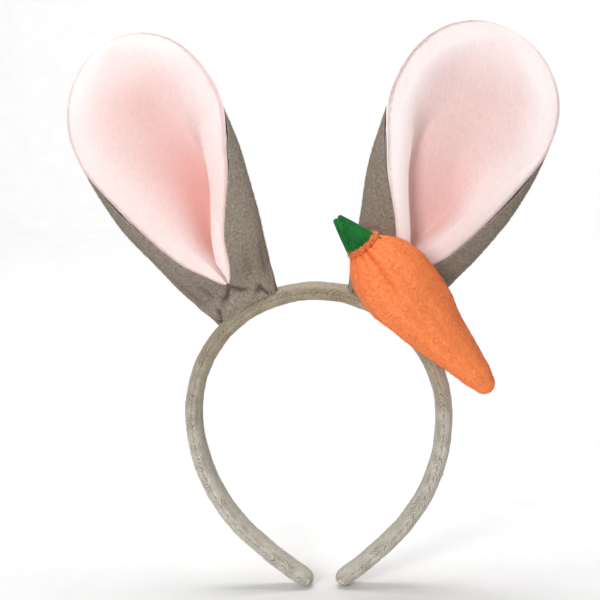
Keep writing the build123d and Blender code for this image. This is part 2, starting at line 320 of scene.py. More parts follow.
# ---------------------------------------------------------------- materials
class Nodes:
    """A material under construction."""

    def __init__(self, name, **shader):
        self.material = bpy.data.materials.new(name)
        self.material.use_nodes = True
        self.tree = self.material.node_tree
        self.shader = self.tree.nodes["Principled BSDF"]
        for socket, value in shader.items():
            self.shader.inputs[socket.replace("_", " ")].default_value = value

    def add(self, kind, inputs=None, **settings):
        node = self.tree.nodes.new(kind)
        for key, value in settings.items():
            setattr(node, key, value)
        for socket, value in (inputs or {}).items():
            if isinstance(value, bpy.types.NodeSocket):
                self.tree.links.new(value, node.inputs[socket])
            else:
                node.inputs[socket].default_value = value
        return node

    def noise(self, vector, scale, detail=2.0, roughness=0.55):
        return self.add("ShaderNodeTexNoise", {"Vector": vector, "Scale": scale, "Detail": detail,
                                               "Roughness": roughness}).outputs["Fac"]

    def stretch(self, vector, scale):
        return self.add("ShaderNodeMapping", {"Vector": vector, "Scale": scale}).outputs["Vector"]

    def ramp(self, value, stops):
        node = self.add("ShaderNodeValToRGB", {"Fac": value})
        for index, (place, colour) in enumerate(stops):
            if index < 2:
                stop = node.color_ramp.elements[index]
                stop.position = place
            else:
                stop = node.color_ramp.elements.new(place)
            stop.color = colour
        return node.outputs["Color"]

    def mix(self, share, first, second, blend="MIX"):
        node = self.add("ShaderNodeMix", {0: share, 6: first, 7: second}, data_type="RGBA",
                        blend_type=blend)
        return node.outputs[2]

    def maths(self, operation, first, second):
        return self.add("ShaderNodeMath", {0: first, 1: second}, operation=operation).outputs[0]

    def colour(self, value):
        self.tree.links.new(value, self.shader.inputs["Base Color"])

    def bump(self, height, strength, distance):
        node = self.add("ShaderNodeBump", {"Height": height, "Strength": strength,
                                           "Distance": distance})
        self.tree.links.new(node.outputs["Normal"], self.shader.inputs["Normal"])

    def object_place(self):
        return self.add("ShaderNodeTexCoord").outputs["Object"]


def linear(red, green, blue):
    """A display colour, from 0 to 255, as the linear colour that a shader takes."""
    return tuple((part / 255 / 12.92) if part < 10 else ((part / 255 + 0.055) / 1.055) ** 2.4
                 for part in (red, green, blue)) + (1.0,)


def plush(name, deep, middle, light, sheen, painted_shade=None, pale=None, bump=0.55, strand=0.34,
          pale_blend="MIX"):
    """Short-pile plush. The pile attribute runs across and along the nap, in millimetres.

    An attribute mixes in the painted shade colour for creases, grooves and the cups; the pale attribute
    mixes in pale, a painted highlight on the pink lining and painted shade on the band's crown.
    """
    look = Nodes(name, Roughness=0.95, Sheen_Weight=sheen, Sheen_Roughness=0.45, IOR=1.35,
                 Specular_IOR_Level=0.15, Sheen_Tint=light)
    pile = look.add("ShaderNodeAttribute", attribute_name="pile").outputs["Vector"]
    place = look.object_place()
    strands = look.noise(look.stretch(pile, (1.5, strand, 1.0)), 1.0, 3.0, 0.6)
    tufts = look.noise(look.stretch(pile, (0.62, 0.9 * strand, 1.0)), 1.0, 2.0)
    clouds = look.noise(place, 55.0, 3.0)
    grain = look.maths("ADD", look.maths("MULTIPLY", strands, 0.6),
                       look.maths("MULTIPLY", tufts, 0.4))
    pattern = look.ramp(grain, ((0.3, deep), (0.7, light), (0.5, middle)))
    shade = look.ramp(clouds, ((0.3, (0.94, 0.93, 0.92, 1)), (0.7, (1.0, 1.0, 1.0, 1))))
    shown = look.mix(1.0, pattern, shade, "MULTIPLY")
    # Painted light and shade: pale is a painted highlight on the pink lining and painted shade multiplied
    # onto the band's crown.
    if pale:
        shown = look.mix(look.add("ShaderNodeAttribute", attribute_name="pale").outputs["Fac"], shown, pale,
                         pale_blend)
    # Painted shade: the attribute for painted shade, made patchy by the clouds, mixes the colour towards the
    # painted shade colour.
    if painted_shade:
        shade_amount = look.add("ShaderNodeAttribute", attribute_name="shade_amount").outputs["Fac"]
        patchy = look.maths("ADD", shade_amount, look.maths("MULTIPLY", look.maths("SUBTRACT", clouds, 0.5), 0.25))
        cover = look.ramp(patchy, ((0.05, (0, 0, 0, 1)), (0.95, (1, 1, 1, 1))))
        shown = look.mix(cover, shown, look.mix(0.8, shown, painted_shade))
    look.colour(shown)
    look.bump(look.maths("ADD", look.maths("MULTIPLY", strands, 0.7), look.maths("MULTIPLY", tufts, 0.6)),
              bump, 0.9 * MM)
    return look.material


def pile_tones(name, tones):
    """The strands of one pile, in a few tones."""
    looks = []
    for index, tone in enumerate(tones):
        look = Nodes(f"{name}_strands_{index}", Roughness=0.9, Base_Color=tone, Specular_IOR_Level=0.15)
        looks.append(look.material)
    return looks


def felt(name, deep, light, fibre=1400.0):
    """Pressed fibres: fine tangled grain with softer clouds."""
    look = Nodes(name, Roughness=0.95, Sheen_Weight=0.12, Sheen_Roughness=0.5, Specular_IOR_Level=0.2)
    place = look.object_place()
    fine = look.noise(place, fibre, 4.0, 0.65)
    clouds = look.noise(place, 130.0, 3.0)
    grain = look.maths("ADD", look.maths("MULTIPLY", fine, 0.6), look.maths("MULTIPLY", clouds, 0.4))
    look.colour(look.ramp(grain, ((0.35, deep), (0.65, light))))
    look.bump(fine, 0.5, 0.35 * MM)
    return look.material


def thread_look(name, deep, light):
    """Twisted thread: fine diagonal ridges."""
    look = Nodes(name, Roughness=0.7, Sheen_Weight=0.2)
    place = look.object_place()
    twist = look.add("ShaderNodeTexWave", {"Vector": look.stretch(place, (1.0, 1.0, 1.6)),
                                           "Scale": 900.0, "Distortion": 1.5},
                     bands_direction="DIAGONAL").outputs["Fac"]
    look.colour(look.ramp(twist, ((0.2, deep), (0.8, light))))
    look.bump(twist, 0.5, 0.15 * MM)
    return look.material


def foam(name):
    """Open-cell sponge: small round cells."""
    look = Nodes(name, Roughness=1.0)
    cells = look.add("ShaderNodeTexVoronoi", {"Vector": look.object_place(), "Scale": 900.0})
    look.colour(look.ramp(cells.outputs["Distance"], ((0.1, linear(168, 156, 132)),
                                                      (0.6, linear(226, 218, 198)))))
    look.bump(cells.outputs["Distance"], 0.7, 0.5 * MM)
    return look.material


def moulded(name):
    """Springy moulded plastic with faint flow marks."""
    look = Nodes(name, Roughness=0.42)
    flow = look.noise(look.stretch(look.object_place(), (40.0, 260.0, 40.0)), 1.0, 4.0)
    look.colour(look.ramp(flow, ((0.3, linear(196, 194, 188)), (0.7, linear(216, 214, 208)))))
    look.bump(flow, 0.15, 0.1 * MM)
    return look.material


def steel(name):
    """Drawn wire: fine scratches along it."""
    look = Nodes(name, Metallic=1.0, Roughness=0.35)
    fine = look.noise(look.stretch(look.object_place(), (900.0, 900.0, 120.0)), 1.0, 3.0)
    look.colour(look.ramp(fine, ((0.3, linear(120, 120, 122)), (0.7, linear(172, 172, 174)))))
    look.bump(fine, 0.2, 0.05 * MM)
    return look.material


# Painted shade and light: in each plush the darkest colour given is a painted shade for creases, grooves and
# the cups; pale paints shade onto the band's crown and a highlight onto the pink lining.
GREY = plush("grey_plush", linear(178, 172, 160), linear(210, 205, 194), linear(236, 232, 222), 0.08,
             painted_shade=linear(104, 92, 70), strand=0.5, bump=0.7, pale=(0.62, 0.57, 0.48, 1),
             pale_blend="MULTIPLY")
PINK = plush("pink_plush", linear(236, 205, 202), linear(243, 215, 212), linear(248, 223, 220), 0.2,
             painted_shade=linear(222, 150, 140), pale=linear(254, 244, 243), bump=0.25)
# Painted shade: the ears' grey is a darker copy of the band's grey, with a darker painted shade colour for
# its creases.
SHADED_EAR_GREY = plush("shaded_ear_grey_plush", linear(112, 101, 90), linear(147, 135, 123), linear(180, 170, 157), 0.05,
                 painted_shade=linear(78, 66, 56), strand=0.75, bump=0.8)
ORANGE = plush("orange_plush", linear(230, 110, 56), linear(251, 142, 84), linear(255, 168, 114), 0.2,
               bump=0.35, strand=0.7)
GREY_PILE = pile_tones("grey_plush", (linear(182, 176, 165), linear(206, 201, 190), linear(228, 224, 214)))
# Painted shade: the ears' strands are darker copies of the band's strand tones.
SHADED_EAR_PILE = pile_tones("shaded_ear_grey_plush",
                      (linear(130, 119, 107), linear(154, 142, 130), linear(174, 164, 152)))
PINK_PILE = pile_tones("pink_plush", (linear(246, 220, 217), linear(251, 229, 227), linear(254, 238, 236)))
ORANGE_PILE = pile_tones("orange_plush",
                         (linear(238, 124, 68), linear(251, 144, 88), linear(255, 166, 114)))
GREEN = felt("green_felt", linear(12, 76, 30), linear(36, 134, 62))
LINER_FELT = felt("stiffener_felt", linear(188, 184, 176), linear(222, 219, 212), 700.0)
GREY_THREAD = thread_look("grey_thread", linear(132, 124, 112), linear(168, 160, 148))
ORANGE_THREAD = thread_look("orange_thread", linear(176, 78, 36), linear(232, 122, 62))
FIBRE = felt("fibre_stuffing", linear(220, 218, 212), linear(244, 242, 238), 500.0)
FOAM = foam("sponge")
PLASTIC = moulded("core_plastic")
WIRE = steel("rim_wire")


# ---------------------------------------------------------------- band
CROWN_LENGTH = CROWN_RADIUS * math.pi / 2
LEG_LENGTH = LEG_RADIUS * LEG_TURN
TIP_LENGTH = TIP_RADIUS * TIP_TURN
HALF_LENGTH = CROWN_LENGTH + LEG_LENGTH + TIP_LENGTH
LEG_CENTRE_X = CROWN_RADIUS - LEG_RADIUS
TIP_TURN_START = math.pi / 2 + LEG_TURN
TIP_CENTRE = (LEG_CENTRE_X + (LEG_RADIUS - TIP_RADIUS) * math.sin(TIP_TURN_START),
              CROWN_CENTRE_Z + (LEG_RADIUS - TIP_RADIUS) * math.cos(TIP_TURN_START))


def band_middle(run):
    """Middle line at a run from the top, to the right if positive: x, z and the turn from up."""
    far = abs(run)
    side = 1.0 if run >= 0 else -1.0
    if far < CROWN_LENGTH:
        turn = far / CROWN_RADIUS
        x = CROWN_RADIUS * math.sin(turn)
        z = CROWN_CENTRE_Z + CROWN_RADIUS * math.cos(turn)
    elif far < CROWN_LENGTH + LEG_LENGTH:
        turn = math.pi / 2 + (far - CROWN_LENGTH) / LEG_RADIUS
        x = LEG_CENTRE_X + LEG_RADIUS * math.sin(turn)
        z = CROWN_CENTRE_Z + LEG_RADIUS * math.cos(turn)
    else:
        turn = TIP_TURN_START + (far - CROWN_LENGTH - LEG_LENGTH) / TIP_RADIUS
        x = TIP_CENTRE[0] + TIP_RADIUS * math.sin(turn)
        z = TIP_CENTRE[1] + TIP_RADIUS * math.cos(turn)
    return side * x, z, side * turn


FLEX_RUN = CROWN_RADIUS * FLEX_TURN
FLEX_POINT = band_middle(FLEX_RUN)
TIP_HEIGHT = band_middle(HALF_LENGTH)[1]
SECTION_POWER = 2.0 / 3.0
PARTING_TURN = -math.pi / 2


def band_half_width(z):
    share = max(0.0, (FLEX_POINT[1] - z) / (FLEX_POINT[1] - TIP_HEIGHT))
    return CROWN_HALF_WIDTH - (CROWN_HALF_WIDTH - TIP_HALF_WIDTH) * share


def band_cover(name, start, end, round_start, round_end):
    """Plush cover between two runs. A round end is the band's tip; the other is a tucked join."""
    step = 0.45
    sides = 84
    tip_round = 6.5
    tuck = 0.35
    runs = np.linspace(start, end, int((end - start) / step))
    turns = np.arange(sides) * 2 * math.pi / sides
    grid = np.zeros((len(runs), sides, 3))
    pile = np.zeros((len(runs), sides, 3))
    for row, run in enumerate(runs):
        x, z, turn = band_middle(run)
        half_width = band_half_width(z)
        thick = HALF_BAND
        for near, is_round in ((run - start, round_start), (end - run, round_end)):
            if is_round and near < tip_round:
                closing = math.sqrt(max(0.012, 1 - (1 - near / tip_round) ** 2.3))
                thick *= closing ** 0.85
                half_width *= closing
            elif not is_round and near < 4.0:
                thick -= tuck * (1 - near / 4.0)
                half_width -= tuck * (1 - near / 4.0)
        up = np.array((math.sin(turn), 0.0, math.cos(turn)))
        out = np.sign(np.cos(turns)) * np.abs(np.cos(turns)) ** SECTION_POWER * thick
        deep = np.sign(np.sin(turns)) * np.abs(np.sin(turns)) ** SECTION_POWER * half_width
        grid[row] = np.array((x, 0.0, z)) + out[:, None] * up + deep[:, None] * np.array((0, 1.0, 0))
        from_parting = np.abs(wrapped_turn(turns - PARTING_TURN))
        away = from_parting * 7.5
        pile[row, :, 0] = run - 0.75 * away
        pile[row, :, 1] = away + 0.35 * run
        pile[row, :, 2] = np.sign(np.cos(turns - PARTING_TURN - math.pi / 2)) * 9.0
    normal = normals_of(grid, wrapped=True)
    from_parting = np.abs(wrapped_turn(turns - PARTING_TURN)) * 7.5
    groove = -0.35 * np.exp(-(from_parting / 0.9) ** 2)
    lumps = 0.22 * ripple(grid, 9.0) + 0.12 * ripple(grid, 2.6, 7.0)
    phase = pile[..., 0] * 2 * math.pi / 1.9 + 3.4 * ripple(grid, 4.0, 3.0)
    patches = np.clip(0.7 + 0.7 * ripple(grid, 6.0, 9.0), 0, 1.2)
    zone = np.exp(-np.abs((from_parting - 2.8) / 3.0) ** 3) * patches
    chevron = 0.24 * np.sin(phase) * zone
    # Painted shade: the grooves between the chevron ridges are mixed towards the grey's painted shade colour,
    # and grow fewer strands.
    between = np.clip((0.3 - 0.8 * np.sin(phase)) * zone, 0, 1)
    outward = np.sign(np.sum(normal * (grid - grid.mean(axis=1, keepdims=True)), axis=-1, keepdims=True))
    grid = grid + normal * outward * (groove + lumps + chevron - 0.1)[..., None]
    # Painted shade: the crown is multiplied darker and browner through the pale attribute, and grows fewer
    # strands.
    crown = (1 - smooth(np.abs(runs), 55, 130))[:, None] + 0 * turns
    piece = mesh_piece(name, grid, ring_faces(len(runs), sides), GREY,
                       {"pile": pile.reshape(-1, 3), "shade_amount": between.ravel(), "pale": crown.ravel()})
    face_out(piece)
    weight = (1 - 0.8 * between) * (1 - 0.8 * crown)
    points, normal, nap, chance = surface_spots(grid, BAND_STRANDS, 51 + int(round_end), weight, True)
    middle = len(runs) // 2
    from_core = grid[middle, 0] - grid[middle].mean(axis=0)
    sign = np.sign(np.sum(normals_of(grid, wrapped=True)[middle, 0] * from_core))
    nap_piece = fuzz_piece(f"{name}_nap", (points, normal * sign, nap, chance), GREY_PILE, 0.5, 1.1, 0.08)
    return piece, nap_piece


def flex_blend(piece):
    """Bakes a cover's placement into its mesh points."""
    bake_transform(piece)


JOIN_RUN = CROWN_RADIUS * math.radians(43.0)


def seam_threads(name, start, end):
    """Slanted stitches in the parting of the front edge."""
    pitch = 5.3
    paths = []
    for step in range(int((end - start) / pitch)):
        run = start + (step + 0.5) * pitch
        x, z, turn = band_middle(run)
        half_width = band_half_width(z)
        along = np.array((math.cos(turn), 0.0, -math.sin(turn)))
        up = np.array((math.sin(turn), 0.0, math.cos(turn)))
        middle = np.array((x, -half_width + 0.55, z))
        proud = np.array((0, -0.45, 0))
        path = [middle + along * share * 1.3 + up * share * 0.35 + proud * (1 - share * share)
                for share in np.linspace(-1, 1, 7)]
        paths.append(path)
    piece = threads_piece(name, paths, 0.16, GREY_THREAD, 6)
    return piece


def make_band():
    left, left_nap = band_cover("band_cover_left", -HALF_LENGTH - HALF_BAND, JOIN_RUN + 2.0, True, False)
    right, right_nap = band_cover("band_cover_right", JOIN_RUN, HALF_LENGTH + HALF_BAND, False, True)
    for piece, side in ((left, -1), (left_nap, -1), (right, 1), (right_nap, 1)):
        flex_blend(piece)
    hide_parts("band_cover_crown", "band_cover_left_arm")
    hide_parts("band_cover_right_arm")
    left_seam = seam_threads("band_seam_left", -HALF_LENGTH, JOIN_RUN)
    right_seam = seam_threads("band_seam_right", JOIN_RUN, HALF_LENGTH)
    flex_blend(left_seam)
    flex_blend(right_seam)
    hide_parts("band_seam_stitches_crown", "band_seam_stitches_left_arm")
    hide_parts("band_seam_stitches_right_arm")


# ---------------------------------------------------------------- ears
def ear_half_width(share):
    widest = EAR_WIDEST / EAR_HEIGHT
    above = np.clip((share - widest) / (1 - widest), 0, 1)
    crest = EAR_HALF_WIDTH * np.sqrt(1 - above ** 2.4)
    swell = np.sin(math.pi / 2 * np.clip(share / widest, 0, 1)) ** 1.13
    return np.where(share > widest, crest, FOOT_HALF_WIDTH + (EAR_HALF_WIDTH - FOOT_HALF_WIDTH) * swell)


def ear_half_depth(share):
    full = EAR_HALF_DEPTH - (EAR_HALF_DEPTH - FOOT_HALF_DEPTH) * (1 - share) ** 6
    return full * np.sqrt(1 - np.clip(share, 0, 1) ** 6)


def ear_bow(share):
    return 4 * EAR_BOW * share * (1 - share)


def rim_turns(height):
    """Turns from the front, in radians, of the inner rim (negative) and the outer rim at a height."""
    share = np.clip((height - V_HEIGHT) / (EAR_WIDEST - V_HEIGHT), 0, 1)
    half = np.arcsin(np.clip(0.95 * share ** 0.52, 0, 0.95))
    middle = np.radians(-6 + 6 * smooth(height, V_HEIGHT, 34))
    inner_extra = np.radians(10 * smooth(height, 30, 66) + 17 * smooth(height, 66, 112))
    outer_extra = np.radians(6 * smooth(height, V_HEIGHT, 34) * (1 - smooth(height, 40, 84))
                             + 16 * smooth(height, EAR_WIDEST, 132))
    return middle - half - inner_extra, middle + half + outer_extra


def place_ear(points, side):
    """From the ear's own frame to the part's frame; side is +1 for the right ear."""
    place = (Matrix.Rotation(EAR_LEAN, 3, "Y") @ Matrix.Rotation(-EAR_PITCH, 3, "X")
             @ Matrix.Rotation(EAR_TURN, 3, "Z"))
    outer_radius = CROWN_RADIUS + HALF_BAND
    foot = np.array((outer_radius * math.sin(FOOT_TURN), 0.0,
                     CROWN_CENTRE_Z + outer_radius * math.cos(FOOT_TURN)))
    moved = points @ np.array(place).T + foot
    return moved * np.array((side, 1.0, 1.0))


def ear_heights(first, count):
    """Heights up the ear, closer together at the foot and towards the round top."""
    share = np.linspace(0, 1, count)
    share = share - 0.5 * np.sin(2 * math.pi * share) / (2 * math.pi)
    reach = EAR_HEIGHT - 0.05 - first
    return first + reach * (1 - (1 - share) ** 1.9)


def on_form(turn, height, inset):
    """Point on the ear's closed form at a turn from the front, shrunk by an inset."""
    share = np.clip(height / EAR_HEIGHT, 0, 1)
    wide = np.maximum(ear_half_width(share) - inset, 0.05)
    deep = np.maximum(ear_half_depth(share) - inset, 0.03)
    x = ear_bow(share) + wide * np.sin(turn)
    y = -deep * np.cos(turn)
    return np.stack((x, y, height + 0 * turn), axis=-1)


# Folds pressed into the grey fabric near each foot: turn from the front, sideways run per
# millimetre of height, height of the middle, length, width and depth.
FOLDS = ((0.45, 0.016, 13, 8, 1.8, 0.9), (0.95, 0.012, 18, 12, 2.4, 0.7),
         (-0.75, -0.012, 16, 9, 2.6, 0.6), (1.55, 0.008, 15, 9, 2.2, 0.9),
         (-1.25, -0.010, 15, 10, 2.4, 0.7),
         (2.4, 0.006, 18, 12, 2.2, 0.9), (-2.2, -0.008, 15, 11, 2.2, 0.9), (3.1, 0.0, 20, 12, 2.4, 0.8))
DIMPLES = 14


def foot_shape(points, turn, height):
    """Gathers the fabric towards the stitches: dimples at each stitch, puffs between, and folds."""
    arc = 15.0
    radial = unit(points * np.array((0.45, 1.0, 0.0)))
    push = np.zeros(turn.shape)
    spacing = 2 * math.pi / DIMPLES
    nearest = (turn / spacing - np.floor(turn / spacing) - 0.5) * spacing * arc
    low = np.exp(-(np.clip(height - 1.5, 0, None) / 3.6) ** 2)
    front = smooth(np.cos(turn + 0.1), 0.15, 0.6)
    push -= 1.7 * np.exp(-(nearest / 1.5) ** 2) * low * (1 - 0.8 * front)
    puff = 0.5 - 0.5 * np.cos(2 * math.pi * nearest / (spacing * arc) + math.pi)
    push += 1.0 * np.exp(-((height - 5.5) / 4.0) ** 2) * puff * (1 - 0.8 * front)
    # One fold falls from the point of the V to both sides of the foot, and the fabric under it puffs.
    beside = np.sin(turn + 0.1)
    fold_height = 9.8 - 9.0 * np.clip(np.where(beside > 0, beside / 0.8, -beside), 0, 1)
    above = height - fold_height + 0.5 * np.sin(9 * turn) + 0.5 * np.sin(17 * turn + 1.0)
    uneven = 0.75 + 0.25 * np.sin(7 * turn + 2.0) + 0.2 * np.sin(13 * turn)
    push -= 2.0 * front * uneven * np.exp(-np.abs(above / 1.5) ** 1.4)
    push += 1.5 * front * np.exp(-((above + 3.8) / 2.2) ** 2)
    push += 0.9 * front * np.exp(-((above - 3.2) / 2.4) ** 2)
    for start, slant, middle, length, width, depth in FOLDS:
        off = wrapped_turn(turn - start - slant * (height - middle))
        along = np.exp(-((height - middle) / length) ** 2)
        push -= depth * along * np.exp(-np.abs(off * arc / width) ** 1.5)
        push += 0.45 * depth * along * np.exp(-((np.abs(off * arc) - 2.4 * width) / (1.2 * width)) ** 2)
    return points + radial * push[..., None], push


def seat_on_band(points, height):
    """Draws the lowest rows of a placed right ear onto the band's cover."""
    weight = (1 - np.clip(height / 7.0, 0, 1)) ** 2
    across = points[..., 1]
    held = np.clip(across, -CROWN_HALF_WIDTH + 1.2, CROWN_HALF_WIDTH - 0.25)
    section = (1 - (np.abs(held) / CROWN_HALF_WIDTH) ** 3) ** (1 / 3)
    seat = CROWN_RADIUS + HALF_BAND * section - 0.45
    x = points[..., 0]
    z = points[..., 2] - CROWN_CENTRE_Z
    radius = np.hypot(x, z)
    new_radius = radius + (seat - radius) * weight
    moved = points.copy()
    moved[..., 0] = x / radius * new_radius
    moved[..., 2] = CROWN_CENTRE_Z + z / radius * new_radius
    moved[..., 1] = across + (held - across) * weight
    return moved


def rim_pace(turn, height):
    """Millimetres of arc per radian of turn on the ear's form."""
    share = np.clip(height / EAR_HEIGHT, 0, 1)
    pace = np.hypot(ear_half_width(share) * np.cos(turn), ear_half_depth(share) * np.sin(turn))
    return np.maximum(pace, 3.0)


def ear_layer(inset, setback, first, rows, columns):
    """Grid over one layer of an ear, from rim to rim round its back, with its turns and heights."""
    heights = ear_heights(first, rows)[:, None]
    share = np.linspace(0, 1, columns)[None, :]
    inner, outer = rim_turns(heights)
    behind = setback + 2.2 * smooth(heights, 45, 85)
    inner = inner - behind / rim_pace(inner, heights)
    outer = outer + behind / rim_pace(outer, heights)
    turn = outer + (2 * math.pi + inner - outer) * share
    grid = on_form(turn, heights + 0 * turn, inset + 0.9 * smooth(heights, 60, 100))
    grid[..., 2] -= TOP_GAP * smooth(heights, 95, EAR_HEIGHT)
    grid[..., 1] += TOP_GAP * smooth(heights, 115, EAR_HEIGHT)
    return grid, turn, heights + 0 * turn


def ear_outer(side, name):
    grid, turn, height = ear_layer(0.0, 0.0, 0.0, 235, 200)
    grid, push = foot_shape(grid, turn, height)
    near_rim = np.minimum(turn - turn[:, :1], turn[:, -1:] - turn) * 30
    wave = 0.5 * ripple(grid, 26.0, 4.0 + side) * smooth(near_rim, 0, 12) + 0.1 * ripple(grid, 3.0, side)
    radial = unit(grid * np.array((0.25, 1.0, 0.0)))
    ends = smooth(height, 0, 8)[..., None]
    crest = smooth(EAR_HEIGHT - height, 0, 12)[..., None]
    grid = grid + radial * wave[..., None] * ends * crest
    placed = seat_on_band(place_ear(grid, 1.0), height)
    placed[..., 0] *= side
    pile = np.stack((turn * 22, height + 0.4 * turn, 0 * turn + side), axis=-1)
    # Painted shade: the creases and a band low on the foot are darkened towards the ears' painted shade
    # colour; strands stay out of the creases.
    crease = np.clip(-push / 1.5, 0, 1) + 0.3 * smooth(height, 4, 10) * (1 - smooth(height, 12, 34))
    marks = np.stack((np.clip(crease, 0, 1), 0 * crease), axis=-1)
    sign = side_sign(placed)
    thickness = 1.1 - 0.6 * smooth(height[:, 0], 40, 80) - 0.2 * smooth(height[:, 0], 118, 138)
    piece = layer_piece(name, placed, thickness, SHADED_EAR_GREY, pile, marks, sign)
    weight = crease_free(crease, height)
    points, normal, nap, chance = surface_spots(placed, EAR_STRANDS, 21 + int(side), weight)
    nap_piece = fuzz_piece(f"{name}_nap", (points, normal * sign, nap, chance), SHADED_EAR_PILE, 0.75, 1.0, 0.09)
    return piece, nap_piece


def crease_free(crease, height):
    """Where strands grow: not in the creases, and not below about 11 to 15 mm up the ear."""
    return (1 - np.clip(crease * 1.5, 0, 0.95)) * smooth(height, 11, 15)


def side_sign(placed):
    """+1 if the grid's normals look away from the ear's middle line, else -1."""
    normal = normals_of(placed)
    middle = placed.mean(axis=1, keepdims=True)
    return 1.0 if np.sum(normal * (placed - middle)) > 0 else -1.0


def ear_lining(side, name):
    """Pink lining: a rolled strip inside each rim, a wall, and the floor of the cup."""
    rows = 170
    columns = 150
    heights = ear_heights(V_HEIGHT + 0.7, rows)[:, None]
    share = np.clip(heights / EAR_HEIGHT, 0, 1)
    inner_turn, outer_turn = rim_turns(heights)
    wrap = 1.0 - 1.2 * smooth(heights, 55, 95)
    left = on_form(inner_turn, heights, wrap)
    right = on_form(outer_turn, heights, wrap)
    across = np.linspace(0, 1, columns)[None, :]
    across = across - 0.055 * np.sin(2 * math.pi * across)
    x = left[..., 0] + (right[..., 0] - left[..., 0]) * across
    rim_y = left[..., 1] + (right[..., 1] - left[..., 1]) * across
    width = right[..., 0] - left[..., 0]
    from_inner = across * width
    from_outer = (1 - across) * width
    from_edge = np.minimum(from_inner, from_outer)
    strip_width = (8 + 5 * smooth(heights, 25, 85)) * (1 - 0.8 * smooth(heights, 75, 115))
    inner_strip = np.minimum(0.40 * width, strip_width)
    outer_strip = np.minimum(0.40 * width, 10.5 * (1 - 0.9 * smooth(heights, 55, 108)))
    room = np.maximum(width - inner_strip - outer_strip, 0.2)
    inner_wall = np.minimum(3.0 + 26 * smooth(heights, 62, 112), 0.5 * room)
    soft_from = 24 if side < 0 else 46
    outer_wall = np.minimum(4.0 + 30 * smooth(heights, soft_from, soft_from + 46), 0.9 * room)
    fade = 1 - smooth(heights, 62, 118)
    inside = 3.5 + 0.7 * smooth(heights, 60, 100)
    form_x = (x - ear_bow(share)) / np.maximum(ear_half_width(share) - inside, 0.3)
    back_y = np.maximum(ear_half_depth(share) - inside, 0.15) * np.sqrt(np.clip(1 - form_x ** 2, 0.0, 1))
    drop = smooth((from_inner - inner_strip) / inner_wall) * smooth((from_outer - outer_strip) / outer_wall)
    depth = np.maximum(back_y - rim_y, 0.0)
    y = rim_y + depth * drop
    for distance, strip in ((from_inner, inner_strip), (from_outer, outer_strip)):
        puff = np.sin(math.pi * np.clip(distance / np.maximum(strip, 0.5), 0, 1))
        y = y - 0.9 * puff * fade * smooth(width, 2, 12)
    grid = np.stack((x, y, heights + 0 * x), axis=-1)
    soft = 0.35 * ripple(grid, 20.0, 11.0 + side) + 0.07 * ripple(grid, 2.6, side)
    grid[..., 1] += soft * smooth(from_edge, 0, 6) * smooth(EAR_HEIGHT - heights, 0, 10)
    # Painted shade: the pink darkens towards salmon deeper in the cup, low by the point of the V and in a
    # soft patch up the middle, more on the left ear.
    shade_amount = smooth(y - rim_y, 1.5, 12.0) * (1 - 0.80 * smooth(heights, 30, 100))
    shade_amount = shade_amount + 0.35 * smooth(V_HEIGHT + 20 - heights, 0, 20) * drop
    painted_shade_middle = ear_bow(share) - 6.0 * (1 - smooth(heights, 70, 120))
    painted_shade = np.exp(-((x - painted_shade_middle) / 17.0) ** 2)
    painted_shade = painted_shade * smooth(heights, 30, 60) * (1 - smooth(heights, 104, 134))
    shade_amount = np.clip(shade_amount * (0.85 if side < 0 else 0.48) + (0.42 if side < 0 else 0.12) * painted_shade, 0, 1)
    # Painted highlight: the rims and the top are mixed towards near-white pale, more strongly on the right
    # ear and along its inner strip.
    painted_edge_highlight = (1 - smooth(from_edge, 0, 24)) * (0.35 + 0.4 * smooth(heights, 50, 120))
    pale = np.clip(painted_edge_highlight + 0.5 * smooth(heights, 108, 140), 0, 1)
    if side > 0:
        pale = np.clip(1.5 * pale + 0.5 * (1 - smooth(from_inner, 4, 14)), 0, 1)
    placed = place_ear(grid, side)
    pile = np.stack((x * 1.0, heights + 0 * x, 0 * x + 5 * side), axis=-1)
    normal = normals_of(placed)
    towards = 1.0 if normal[..., 1].mean() < 0 else -1.0
    piece = layer_piece(name, placed, 0.9, PINK, pile, np.stack((shade_amount, pale), axis=-1), towards)
    thick_edge = 0.03 + 2.6 * (1 - smooth(from_edge, 0, 2.4)) + 0.1 * (1 - smooth(from_edge, 0, 10))
    thick_edge = thick_edge * (1 - 0.9 * shade_amount)
    points, normal, nap, chance = surface_spots(placed, LINING_STRANDS, 31 + int(side), thick_edge)
    spots = (points, normal * towards, nap, chance)
    nap_piece = fuzz_piece(f"{name}_nap", spots, PINK_PILE, 0.9, 0.5, 0.07)
    return piece, nap_piece


def ear_hidden(side, word):
    """The felt stiffener between the layers, and the wire that follows the rim."""
    grid, turn, height = ear_layer(1.35, 2.6, STIFFENER_FOOT, 60, 70)
    kept = height[:, 0] < STIFFENER_TOP
    grid, turn, height = grid[kept], turn[kept], height[kept]
    pile = np.stack((turn, height, turn), axis=-1)
    placed = place_ear(grid, side)
    stiffener = layer_piece(f"{word}_stiffener_felt", placed, 0.8, LINER_FELT, pile,
                            towards=side_sign(placed))
    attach(stiffener, f"{word}_ear")
    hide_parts(f"{word}_ear_stiffener")
    heights = ear_heights(24.0, 70)
    inner, outer = rim_turns(heights)
    rims = [on_form(inner - 1.9 / rim_pace(inner, heights), heights, 1.7),
            on_form(outer + 1.9 / rim_pace(outer, heights), heights, 1.7)]
    path = np.concatenate((rims[0], rims[1][::-1][1:]))
    path[:, 1] += TOP_GAP * smooth(path[:, 2], 115, EAR_HEIGHT)
    path[:, 2] -= 2.4 * smooth(path[:, 2], 90, EAR_HEIGHT)
    path = place_ear(path, side)
    wire = threads_piece(f"{word}_rim_wire_bent", [path], 0.45, WIRE, 8)
    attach(wire, f"{word}_ear")
    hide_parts(f"{word}_ear_rim_wire")


